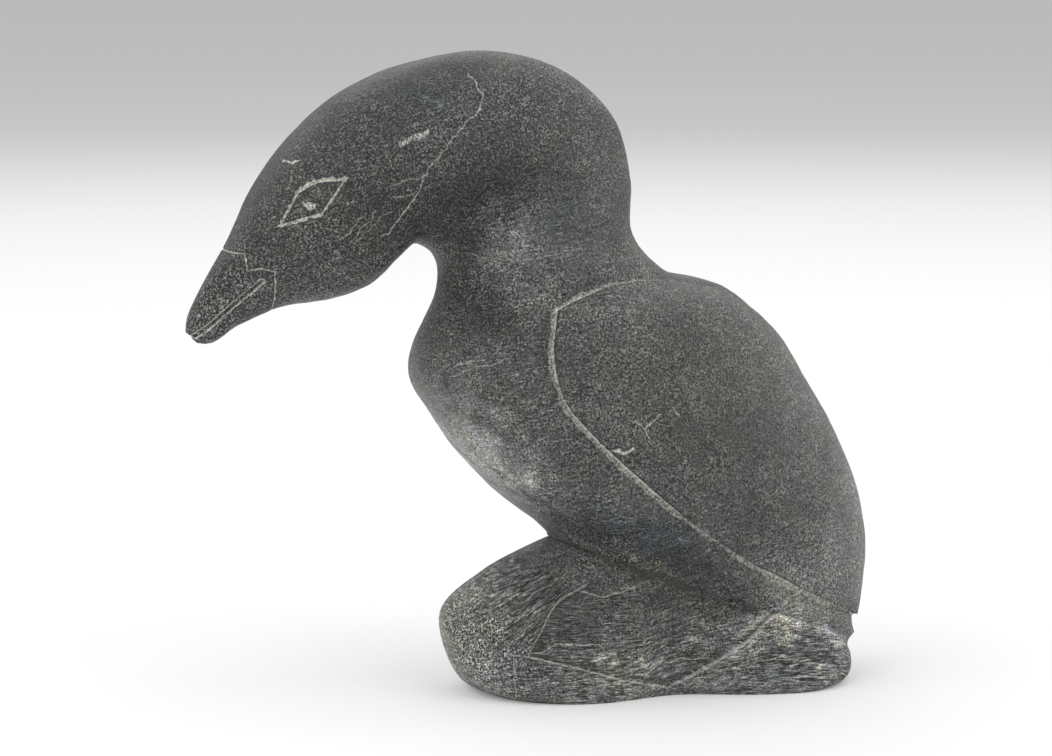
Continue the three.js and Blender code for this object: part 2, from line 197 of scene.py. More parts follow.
def surface(t, angle):
    """Points of the plain form: t counts ribs from the bill's tip, angle runs round each rib."""
    k = np.minimum(t.astype(int), len(GAP) - 1)
    u = (t - k)[:, None]
    step = GAP[k][:, None]
    rib = mix(RIBS[k], RIBS[k + 1], u * u * (3 - 2 * u))
    rib += step * u * (1 - u) * ((1 - u) * SLOPE_START[k] - u * SLOPE_END[k])
    ux, uz, ox, oz, half, widest, blunt_under, blunt_over, blunt_side = rib.T
    c, s = np.cos(angle), np.sin(angle)
    along = np.where(c >= 0, widest + (1 - widest) * np.abs(c) ** blunt_over,
                     widest - widest * np.abs(c) ** blunt_under)
    x, z = mix(ux, ox, along), mix(uz, oz, along)
    pinch = PINCH * hill((x - PINCH_X) / PINCH_HALF) * (1 - smooth(z / PINCH_TOP))
    return np.stack([x, half * np.sign(s) * np.abs(s) ** blunt_side * (1 - pinch), z], 1)


RING = 96
STATION_STEP = 2.0
FINE, COARSE = 0.27, 1.9  # edge lengths at a carved line and away from it


def coarse_net():
    """Parameters (t, angle) of a net over the plain form, and its triangles.

    Its last two points close the ends.
    """
    stations = []
    for k, reach in enumerate(GAP_REACH):
        parts = math.ceil(reach / STATION_STEP)
        stations += [k + i / parts for i in range(parts)]
    stations = np.array(stations + [len(GAP)])
    even = np.linspace(0, 2 * np.pi, RING, endpoint=False)
    t, angle = np.repeat(stations, RING), np.tile(even, len(stations))
    i = np.arange(len(stations) - 1)[:, None] * RING
    a, b = i + np.arange(RING), i + np.roll(np.arange(RING), -1)
    quads = np.stack([a, b, b + RING, a + RING], -1).reshape(-1, 4)
    tip, sole, last = len(t), len(t) + 1, (len(stations) - 1) * RING
    j, k = np.arange(RING), np.roll(np.arange(RING), -1)
    faces = np.vstack([
        quads[:, [0, 3, 2]], quads[:, [0, 2, 1]],
        np.stack([np.full(RING, tip), j, k], 1),
        np.stack([np.full(RING, sole), last + k, last + j], 1),
    ])
    return np.append(t, [0, len(GAP)]), np.append(angle, [0, 0]), faces


def split_edges(t, angle, edges, pick):
    """Halves the picked edges with new points on the form. The middles are numbered by edge, or -1."""
    a, b = edges[pick].T
    turn = angle[b] - angle[a]
    turn = (turn + np.pi) % (2 * np.pi) - np.pi
    t = np.append(t, (t[a] + t[b]) / 2)
    angle = np.append(angle, (angle[a] + turn / 2) % (2 * np.pi))
    middle = np.full(len(edges), -1)
    middle[pick] = np.arange(len(t) - len(a), len(t))
    return t, angle, middle


def refined_net(target, passes=7):
    """The net, refined until its edges are about as short as target(points) asks."""
    t, angle, faces = coarse_net()
    ends = (len(t) - 2, len(t) - 1)
    for _ in range(passes):
        points = surface(t, angle)
        sides = faces[:, [[0, 1], [1, 2], [2, 0]]]
        edges, which = np.unique(np.sort(sides.reshape(-1, 2), axis=1), axis=0, return_inverse=True)
        which = which.reshape(-1, 3)
        length = np.linalg.norm(points[edges[:, 0]] - points[edges[:, 1]], axis=1)
        capped = np.isin(edges, ends).any(1)
        pick = (length > 1.35 * FINE) & ~capped
        pick[pick] = length[pick] > 1.35 * target(points[edges[pick]].mean(1))
        if not pick.any():
            break
        touched = pick[which].any(1)
        longest = which[np.arange(len(which)), length[which].argmax(1)]
        pick[longest[touched]] = True
        pick &= ~capped
        t, angle, middle = split_edges(t, angle, edges, pick)
        faces = divide(faces, middle[which])
    points = surface(t, angle)
    for end, rib in zip(ends, (0, len(GAP))):
        points[end] = points[np.flatnonzero(t == rib)].mean(0)
    return points, faces


def divide(faces, middle):
    """Splits each triangle by the middles (or -1) of its sides 01, 12 and 20."""
    out = [faces[(middle < 0).all(1)]]
    count = (middle >= 0).sum(1)
    for turn in range(3):
        f, m = np.roll(faces, -turn, axis=1), np.roll(middle, -turn, axis=1)
        one = (count == 1) & (m[:, 0] >= 0)
        a, b, c, ab = *f[one].T, m[one, 0]
        out += [np.stack([a, ab, c], 1), np.stack([ab, b, c], 1)]
        two = (count == 2) & (m[:, 2] < 0)
        a, b, c, ab, bc = *f[two].T, m[two, 0], m[two, 1]
        out += [np.stack([ab, b, bc], 1), np.stack([a, ab, bc], 1), np.stack([a, bc, c], 1)]
    full = count == 3
    a, b, c, ab, bc, ca = *faces[full].T, *middle[full].T
    out += [np.stack(s, 1) for s in ((a, ab, ca), (ab, b, bc), (ca, bc, c), (ab, bc, ca))]
    return np.vstack(out)


def vertex_normals(points, faces):
    a, b, c = points[faces].transpose(1, 0, 2)
    across = np.cross(b - a, c - a)
    normals = np.zeros_like(points)
    for corner in faces.T:
        np.add.at(normals, corner, across)
    return normals / np.linalg.norm(normals, axis=1, keepdims=True)


# ---------------------------------------------------------------- relief
WING_BEVEL_DEPTH, WING_BEVEL_WIDTH = 1.5, 6.0  # neck and flank are cut back along the wing's border
BACK_GROOVE_DEPTH, BACK_GROOVE_HALF = 1.3, 2.4  # where the two wings meet along the spine
CHEEK_VALLEY_DEPTH, CHEEK_VALLEY_HALF = 1.2, 6.0
SCOOP_DEPTH, SCOOP_SLOPE, SCOOP_WALL = 3.6, 9.0, 0.8
HEEL_RISE, HEEL_HALF = 1.4, 8.0
ARCH_PALE_AND_HIGHLIGHT, ARCH_HALF = 1.5, 2.2  # a pale ridge over the heel, partly worn stone and partly a painted highlight along its top
RIBBON, RIBBON_END = 1.25, 0.45  # width of the pale band outside the wing's border, and near the spine
RIBBON_LOW = 0.35  # and how much wider it is low on the flank
PUPIL_DEPTH, PUPIL_RADIUS = 0.25, 1.2
BROAD_UNEVEN, FINE_UNEVEN = 0.06, 0.03  # the hand's unevenness over the whole stone
SOLE_RIM = 2.5  # the sole and its rim keep their outline up to about this height
STROKE_WOBBLE = 0.07
VALLEY_REACH, HEEL_REACH, SCOOP_REACH = 20, 25, 20
# how dark the painted shade is inside the scoop's rim, along the waist crease and in the groove between the
# wings
SHADE_IN_SCOOP, SHADE_IN_CREASE, SHADE_ON_SPINE = 0.4, 0.7, 0.6
WALL = 0.45  # a carved step reaches its full height over this distance
FAR = 160.0
LEAN = math.sqrt(0.5)

wing_top, wing_edge = curve(WING_TOP), curve(WING_EDGE)
wing_border = np.vstack([wing_top[::-1], wing_edge[1:]])
top_line = np.stack([wing_top[:, 0], (wing_top[:, 2] - wing_top[:, 1]) * LEAN], 1)
BELOW_TOP = np.vstack([top_line, [(FAR, FAR), (FAR, -FAR), (-FAR, -FAR), (-FAR, top_line[0, 1])]])
BEHIND_EDGE = np.vstack([wing_edge[:, [0, 2]],
                         [(FAR, wing_edge[-1, 2] - 4), (FAR, FAR), (wing_edge[0, 0], FAR)]])
scoop_sides = [curve(line) for line in (SCOOP_HEEL, SCOOP_TOE, SCOOP_ARC)]
SCOOP_FIELD = np.vstack([*scoop_sides, [(SCOOP_ARC[-1][0], FAR), (SCOOP_HEEL[0][0], FAR)]])
LOBE_TOP, LOBE_LOW, LOBE_FRONT = 60, 11, -90
LOBE_FIELD = np.vstack([curve(SCOOP_ARC),
                        [(SCOOP_ARC[-1][0], LOBE_TOP), (LOBE_FRONT, LOBE_TOP),
                         (LOBE_FRONT, LOBE_LOW), (SCOOP_ARC[0][0], LOBE_LOW)]])
CREASE_SLOPE = (CREASE[1][1] - CREASE[0][1]) / (CREASE[1][0] - CREASE[0][0])

# Incised strokes, the same on both sides: points, half width, depth.
STROKES = [
    (np.array(EYE), 0.36, 0.34),
    (np.array(BILL_BORDER), 0.36, 0.28),
    (curve(MOUTH), 0.80, 0.50),
    (curve(TOE_LINE), 0.35, 0.20),
    (np.array(CORNER_LINE), 0.35, 0.12),
]

# A vein of pale stone crosses the near cheek.
VEIN = [(-50.7, 141.9), (-49.6, 139.8), (-48.7, 137.2), (-50.2, 134), (-53, 131.5), (-56.7, 128.5),
        (-57.9, 125.9), (-61.2, 123.2), (-63.2, 120.1), (-64, 117.2), (-66.6, 113.5), (-68.7, 110.2),
        (-72.5, 107)]
# Pale lines in the carved strokes: points, half width, paleness.
CARVED_LINES = [
    (np.array(EYE[:2]), 0.10, 0.95),
    (np.array(EYE[1:4]), 0.24, 1.0),
    (np.array(EYE[3:5]), 0.10, 0.95),
    (np.array(EYE[4:]), 0.18, 1.0),
    (np.array([(-88.4, 114.4), (-88.0, 114.2)]), 0.85, 1.0),  # pupil
    (np.array(BILL_BORDER), 0.04, 0.75),
    (around(curve(MOUTH), 0.58), 0.04, 0.7),
    (curve(TOE_LINE), 0.02, 0.55),
    (np.array(CORNER_LINE), 0.0, 0.45),
    (curve(SCOOP_ARC[:4]), 0.0, 0.45),
    (curve(SCOOP_HEEL), 0.05, 0.5),
]
# Fine marks on the near side alone, in the same way.
MARKS = [
    (VEIN, 0.02, 0.55),
    ([(-91.9, 123.3), (-90.7, 123.3), (-89.4, 123.9)], 0.12, 0.9),
    ([(-22.4, 58.5), (-20.6, 58.4), (-19.0, 59.1)], 0.18, 1.0),
    ([(-17.3, 64.7), (-15.0, 62.1)], 0.02, 0.6),
    ([(-15.7, 63.5), (-14.4, 65.0), (-12.6, 66.8)], 0.05, 0.7),
    ([(-9.8, 68.2), (-8.0, 66.4)], 0.0, 0.5),
    ([(-79.4, 106.0), (-74.1, 112.4)], 0.0, 0.4),
    ([(-78.2, 105.4), (-73.0, 111.2)], 0.0, 0.3),
    ([(-81.0, 106.8), (-77.0, 111.4)], 0.0, 0.3),
    ([(-70.0, 115.9), (-65.2, 116.8)], 0.0, 0.4),
    ([(-70.6, 118.3), (-66.0, 119.6), (-62.4, 120.6)], 0.0, 0.35),
    ([(-71.8, 125.1), (-70.2, 122.0)], 0.0, 0.4),
    ([(-56.2, 75.4), (-50.8, 77.4), (-44.9, 79.4)], 0.0, 0.4),
    ([(-55.0, 77.6), (-50.0, 79.0)], 0.0, 0.35),
    ([(-50.1, 101.6), (-44.1, 100.1), (-35.7, 101.1), (-26.7, 103.1)], 0.0, 0.25),
    ([(-26.8, 25.4), (-24.0, 24.7), (-20.0, 24.7), (-16.6, 26.2), (-15.1, 26.8)], 0.0, 0.5),
    ([(-16.4, 27.2), (-14.5, 25.5)], 0.0, 0.4),
    ([(-39.5, 11.2), (-37.4, 12.4), (-33.5, 13.8), (-28.8, 14.1), (-24.5, 13.4), (-22.5, 11.7)], 0.0, 0.6),
    ([(-12.3, 4.9), (-9.5, 6.6), (-5.4, 7.4), (-1.0, 8.3), (2.8, 8.6)], 0.0, 0.5),
    ([(-21.0, 11.5), (-14.1, 11.8), (-6.9, 11.2)], 0.0, 0.3),
]
# Small picked dots round the eye, and a row of dashes behind it.
DOTS = [(-76.4, 122.7), (-79.1, 121.9), (-81.2, 122.6), (-84.8, 121.9), (-86.4, 121.9), (-89.8, 120.2),
        (-91.2, 118.9), (-92.2, 117.8), (-93.4, 115.3), (-94.7, 113.6), (-95.5, 111.8), (-95.6, 107.0),
        (-84.0, 108.9), (-71.4, 127.3), (-93.9, 110.7)]
DOT_HALF, DOT_PALE = 0.06, 0.5
DASH_START, DASH_END, DASHES = (-68.7, 126.7), (-62.3, 129.7), 8
DASH_HALF, DASH_LEAN, DASH_PALE = 0.10, (0.2, 0.7), 0.8
dash_feet = np.linspace(DASH_START, DASH_END, DASHES)
near_marks = [(np.array(line), half, pale) for line, half, pale in MARKS]
near_marks += [(np.array([dot, np.add(dot, 0.02)]), DOT_HALF, DOT_PALE) for dot in DOTS]
near_marks += [(np.array([foot, foot + DASH_LEAN]), DASH_HALF, DASH_PALE) for foot in dash_feet]
pale_lines = [(*mark, True) for mark in CARVED_LINES] + [(*mark, False) for mark in near_marks]
MARK_REACH = 4.0
MARK_DEPTH, MARK_RIM = 0.05, 0.3
MARK_WAVER, PATCH_WAVER = 0.22, 1.6  # how far near marks and patches stray from their drawn place
MARK_SOFT = 0.16  # a pale line fades over about this distance at its rims

# Patches: (x, z), half length, half width, turn in degrees, amount.
TONE_AND_SHADING_PATCHES = [  # in doublings of the stone's plain lightness: partly the stone's own tone, partly painted light and shade, such as sheen on the breast's lower rim and the wing's back edge, a lit facet on the neck, and shade under the throat, below the belly, on the head's side and on the forehead
    ((-72, 125), 42, 30, 25, -0.8),
    ((-55, 116), 28, 7, 12, -1.2),
    ((-51, 100), 10, 3.5, 90, -1.5),
    ((-42, 102), 8, 9, 0, 1.25),
    ((-48, 87), 7, 3.5, 0, -0.8),
    ((-46, 55), 19, 6, -48, 2.45),
    ((-51, 77), 6, 6, 0, -0.3),
    ((-59, 72), 5, 8, 0, 0.6),
    ((-75, 114), 10, 6, 40, -0.9),
    ((-8, 34), 20, 4, -22, -1.1),
    ((-15, 23), 20, 5, 0, -0.5),
    ((-8, 3), 46, 7, 0, 1.45),
    ((-52, 16), 11, 17, 0, 1.15),
    ((23, 17), 12, 4.5, 0, 1.7),
    ((20, 10), 8, 1.8, 0, -0.7),
    ((24, 8), 12, 3, 0, -0.25),
    ((28, 25), 14, 5, -12, 0.7),
    ((36, 60), 34, 9, -74, 1.3),
    ((30, 33), 12, 9, 0, 0.75),
    ((20, 70), 12, 9, -60, 0.4),
    ((0, 87), 12, 6, 0, -0.3),
    ((-12, 97), 8, 4, 0, 0.5),
    ((-6, 56), 18, 7, -35, -0.5),
    ((-92, 128), 30, 6, 52, -0.9),
    ((-24, 125), 10, 2.5, 62, 0.5),
    ((-70, 126), 9, 3, 25, 0.4),
    ((-88, 115), 8, 5, 40, 0.15),
    ((-108, 99), 12, 4, 62, -1.0),
    ((-105, 94), 10, 8, 40, -0.4),
    ((-104, 100), 6, 3, 55, -0.7),
]
GRAIN_PATCHES = [  # how much stronger or weaker the speckle is
    ((8, 62), 34, 26, -50, -0.42),
    ((36, 60), 30, 12, -74, -0.2),
    ((-92, 131), 30, 4, 52, -0.4),
    ((-75, 112), 14, 8, 40, 0.35),
    ((-58, 70), 5, 10, 0, -0.35),
    ((-62, 143), 30, 5, 8, -0.5),
    ((-20, 125), 10, 16, 0, -0.2),
    ((-25, 108), 14, 12, 0, -0.35),
    ((-50, 18), 12, 18, 0, 0.5),
    ((22, 10), 22, 8, 0, 0.5),
    ((-25, 5), 22, 8, 0, 0.4),
    ((-106, 94), 12, 8, 40, 0.6),
    ((-46, 55), 19, 6, -48, -0.3),
]
BLUE_PATCHES = [
    ((-60, 136), 16, 5, -12, 0.8),
    ((-30, 110), 12, 8, 0, 0.6),
    ((-12, 38), 22, 5, -20, 1.0),
    ((-42, 9), 8, 4, 0, 0.7),
    ((10, 3), 14, 2, 0, 0.6),
    ((33, 13), 4, 3, 0, 0.5),
    ((-38, 60), 8, 5, -40, 0.3),
]
OLIVE_PATCHES = [
    ((-76, 104), 4, 1.5, 20, 1.0),
    ((-10, 28.6), 7, 2, -10, 1.0),
    ((-1, 23), 10, 2, -25, 0.6),
    ((20, 15), 5, 3, 20, 1.3),
    ((-5, 72), 24, 16, 0, 0.5),
    ((-50, 17), 10, 14, 0, 0.5),
    ((-23, 7), 14, 3, 0, 0.5),
    ((40, 62), 14, 4, -74, 0.4),
    ((-88, 115), 8, 6, 40, 0.4),
]
FILED_PATCHES = [  # how much of the grain is file strokes
    ((24, 6), 26, 11, 0, 0.85),
    ((-25, 5), 22, 8, 0, 0.75),
    ((-38, 24), 8, 12, 30, 0.75),
    ((-15, 20), 24, 9, 0, 0.5),
    ((-14, 42), 26, 9, -22, 0.5),
    ((-45, 72), 14, 20, -60, 0.4),
    ((-32, 106), 18, 14, 0, 0.35),
    ((36, 58), 32, 9, -74, 0.3),
    ((-62, 136), 24, 7, 0, 0.25),
    ((-74, 108), 8, 5, 50, 0.3),
]
FAN = (-12.0, 38.0)  # the file marks of the front lobe fan out from here
FAN_SPREAD = 35.0
HEEL_BOW, HEEL_BOW_X = 0.006, 18.0  # those of the heel bow over it
NECK_SLOPE = 0.15  # and those above the base rise a little towards the tail


class Ripple:
    """A smooth random field of about unit strength, with features about one wavelength across."""

    def __init__(self, wavelength, waves=24):
        heading = rng.normal(size=(waves, 3))
        heading /= np.linalg.norm(heading, axis=1, keepdims=True)
        self.wave = heading * 2 * np.pi / wavelength * rng.uniform(0.6, 1.4, (waves, 1))
        self.phase = rng.uniform(0, 2 * np.pi, waves)

    def __call__(self, points):
        return np.sin(points @ self.wave.T + self.phase).sum(1) * math.sqrt(2 / len(self.phase))


broad_ripple, fine_ripple, line_ripple, band_ripple = Ripple(16), Ripple(5), Ripple(2.5), Ripple(7)


def crease_height(x):
    return CREASE[0][1] + CREASE_SLOPE * (x - CREASE[0][0])


def patches(side, table):
    """The sum of soft patches at each point of the side view, with uneven rims."""
    total = np.zeros(len(side))
    for centre, half_length, half_width, turn, amount in table:
        c, s = math.cos(math.radians(turn)), math.sin(math.radians(turn))
        dx, dz = (side - centre).T
        along, across = (dx * c + dz * s) / half_length, (dz * c - dx * s) / half_width
        total += amount * np.exp(-along ** 2 - across ** 2)
    return total


def file_strokes(points, in_base, in_scoop):
    """Coordinates along and across the strokes of the file."""
    x, y, z = points.T
    from_fan = np.stack([x - FAN[0], z - FAN[1]], 1)
    radius = np.linalg.norm(from_fan, axis=1)
    heading = np.arctan2(from_fan[:, 1], from_fan[:, 0]) % (2 * np.pi)
    lobe = in_base & ~in_scoop & inside(points[:, [0, 2]], LOBE_FIELD)
    bow = HEEL_BOW * (x - HEEL_BOW_X) ** 2 * (x > -12)
    along = np.where(lobe, radius, x + NECK_SLOPE * z * ~in_base)
    across = np.where(lobe, heading * FAN_SPREAD, z + bow - NECK_SLOPE * x * ~in_base)
    return np.stack([along, across, y], 1)


def relief(points):
    """How far each point moves out along its normal, and the masks that the stone's finish follows, painted
    light and shade among them.
    """
    x, y, z = points.T
    side = points[:, [0, 2]]
    shoulder = np.stack([x, (z - np.abs(y)) * LEAN], 1)
    folded = np.stack([x, np.abs(y), z], 1)
    wobble = STROKE_WOBBLE * line_ripple(points)

    from_wing = distance(folded, wing_border)
    on_wing = inside(side, BEHIND_EDGE) & inside(shoulder, BELOW_TOP)
    groove = BACK_GROOVE_DEPTH * (1 - smooth(np.abs(y) / BACK_GROOVE_HALF))
    wing = -groove - (WING_BEVEL_DEPTH - groove) * (1 - smooth(from_wing / WALL))
    body = -WING_BEVEL_DEPTH * (1 - smooth(from_wing / WING_BEVEL_WIDTH))
    body -= CHEEK_VALLEY_DEPTH * hill(distance(side, curve(CHEEK_VALLEY), VALLEY_REACH) / CHEEK_VALLEY_HALF)
    heel = hill(distance(side, curve(HEEL_AXIS), HEEL_REACH) / HEEL_HALF)
    in_base = z < crease_height(x)
    body += HEEL_RISE * heel * in_base

    reach = np.min([distance(side, line, SCOOP_REACH) for line in scoop_sides], axis=0)
    in_scoop = inside(side, SCOOP_FIELD) & in_base
    scoop = -SCOOP_WALL - (SCOOP_DEPTH - SCOOP_WALL) * smooth(reach / SCOOP_SLOPE)
    body = np.where(in_scoop, mix(body, scoop, smooth(reach / WALL)), body)
    out = np.where(on_wing, wing, body)

    for line, half, depth in STROKES:
        out -= depth * (1 - smooth((distance(side, line) + wobble) / half))
    off_pupil = np.linalg.norm(side - PUPIL, axis=1) + wobble
    out -= PUPIL_DEPTH * (1 - smooth(off_pupil / PUPIL_RADIUS))
    out += BROAD_UNEVEN * broad_ripple(points) + FINE_UNEVEN * fine_ripple(points)
    lift = smooth(z / SOLE_RIM)

    wavy = side + MARK_WAVER * np.stack([line_ripple(points), fine_ripple(points)], 1)
    marks, off_line = np.zeros(len(points)), np.ones(len(points))
    nearest = np.full(len(points), FAR)
    for line, half, pale, both_sides in pale_lines:
        off = distance(side if both_sides else wavy, line, MARK_REACH, signed=True)
        rim = np.abs(off) - half
        closer = (rim < nearest) & ((y < 0) | both_sides)
        nearest[closer] = rim[closer]
        marks[closer] = pale * (1 - smooth((rim[closer] - 0.15) / 0.55))
        off_line[closer] = off[closer] / (half + MARK_SOFT)
    out -= MARK_DEPTH * (1 - smooth(nearest / MARK_RIM))

    ragged = side + PATCH_WAVER * np.stack([band_ripple(points), fine_ripple(points)], 1)
    # the stone's own tone together with painted sheen, lit facets and shade
    tone_and_shading = patches(ragged, TONE_AND_SHADING_PATCHES)
    # the heel's arch: pale worn stone with a painted highlight along its top
    tone_and_shading += ARCH_PALE_AND_HIGHLIGHT * in_base * hill(distance(side, curve(HEEL_ARCH)) / ARCH_HALF)
    dusty = ~on_wing * ~in_base * smooth((x + 5) / 25) * (1 - smooth((from_wing - 2.5) / 4)) * (z < 60)
    waist = np.abs(z - crease_height(x) + 0.3 * band_ripple(points))
    ribbon = RIBBON - (RIBBON - RIBBON_END) * smooth((x + 14) / 14) * (z > 80) + 0.2 * band_ripple(points)
    ribbon += RIBBON_LOW * smooth((64 - z) / 6)
    # painted shade: inside the scoop's rim, along the waist crease in front, and in the groove along the
    # spine
    painted_shade = np.max([
        in_scoop * smooth(reach / 0.5) * (1 - smooth((reach - 0.8) / 1.6)) * SHADE_IN_SCOOP,
        (1 - smooth((waist - 0.2) / 0.9)) * (x < 0) * SHADE_IN_CREASE,
        (1 - smooth(np.abs(y) / 0.7)) * on_wing * SHADE_ON_SPINE,
    ], axis=0)
    masks = {
        "marks": marks,
        "off_line": off_line,
        "off_wing": np.where(on_wing, -from_wing, from_wing),
        "ribbon": ribbon,
        "painted_shade": painted_shade,
        "filed": np.clip(0.1 + patches(ragged, FILED_PATCHES), 0, 1),
        "tone_and_shading": tone_and_shading,
        "speckle": (1 + patches(ragged, GRAIN_PATCHES)) * 2 ** (-0.35 * tone_and_shading),
        "blue": patches(ragged, BLUE_PATCHES),
        "olive": patches(ragged, OLIVE_PATCHES),
        "dusty": dusty,
    }
    return out * lift, masks, file_strokes(points, in_base, in_scoop)


def edge_target(points):
    side = points[:, [0, 2]]
    folded = np.stack([points[:, 0], np.abs(points[:, 1]), points[:, 2]], 1)
    near = distance(folded, wing_border)
    lines = [line for line, *_ in STROKES] + scoop_sides
    for line in lines:
        near = np.minimum(near, distance(side, line))
    marked = np.full(len(points), FAR)
    for line, *_ in near_marks:
        marked = np.minimum(marked, distance(side, line, MARK_REACH) + 0.35)
    near = np.where(points[:, 1] < 0, np.minimum(near, marked), near)
    return np.clip(FINE + 0.4 * (near - 0.6), FINE, COARSE)


# ---------------------------------------------------------------- the stone
class Graph:
    """Short ways to add and join shader nodes. Inputs are sockets or plain values."""

    def __init__(self, owner):
        if isinstance(owner, bpy.types.Material):
            owner.use_nodes = True
            owner = owner.node_tree
            owner.nodes.clear()
        self.tree = owner

    def set(self, socket, value):
        if isinstance(value, bpy.types.NodeSocket):
            self.tree.links.new(value, socket)
        else:
            socket.default_value = value

    def add(self, kind, inputs=(), out=0, **settings):
        node = self.tree.nodes.new("ShaderNode" + kind)
        for name, value in settings.items():
            setattr(node, name, value)
        for key, value in dict(inputs).items():
            self.set(node.inputs[key], value)
        return node.outputs[out] if node.outputs else None

    def attribute(self, name, out="Fac"):
        return self.add("Attribute", out=out, attribute_name=name)

    def math(self, operation, a, b=0.0):
        return self.add("Math", {0: a, 1: b}, operation=operation)

    def times(self, a, b):
        return self.math("MULTIPLY", a, b)

    def scaled(self, vector, by):
        return self.add("VectorMath", {0: vector, 1: by}, operation="MULTIPLY")

    def noise(self, vector, per_mm, detail, rough=0.5):
        inputs = {"Vector": vector, "Scale": per_mm, "Detail": detail, "Roughness": rough}
        return self.add("TexNoise", inputs)

    def between(self, value, low, high, to_low=0.0, to_high=1.0):
        inputs = {0: value, 1: low, 2: high, 3: to_low, 4: to_high}
        return self.add("MapRange", inputs, interpolation_type="SMOOTHSTEP")

    def mix(self, share, a, b):
        return self.add("Mix", {0: share, 6: a, 7: b}, out=2, data_type="RGBA")


def grey(value, warm=0.0):
    """A linear colour near grey; warm shifts it towards yellow, or towards blue below nought."""
    return (value * (1 + 0.5 * warm), value * (1 + 0.35 * warm), value * (1 - warm), 1)


STONE = (0.060, 0.060, 0.0582)  # the plain stone
SPARKLE = 0.42  # how strongly the grain lightens and darkens it
COOL_TINT, WARM_TINT = (0.97, 0.99, 1.03, 1), (1.03, 1.01, 0.95, 1)
BLUE_TINT, OLIVE_TINT = (0.89, 0.99, 1.11, 1), (1.06, 1.04, 0.85, 1)
# the first is painted shade for the scoop's rim, the waist crease and the spine's groove; the second is pale
# dust
RECESS_SHADE, DUST = grey(0.018, 0.1), grey(0.24, 0.25)
# the first is painted shade at the foot of carved walls and along cut lines; the second is pale raw stone
CUT_SHADE, RAW_STONE = grey(0.016, 0.1), grey(0.66, 0.08)
# Noise features per mm along and across the strokes of the file, and through the stone.
STREAK_SCALE, SCRATCH_SCALE = (0.45, 3.2, 0.5), (0.18, 1.6, 0.2)


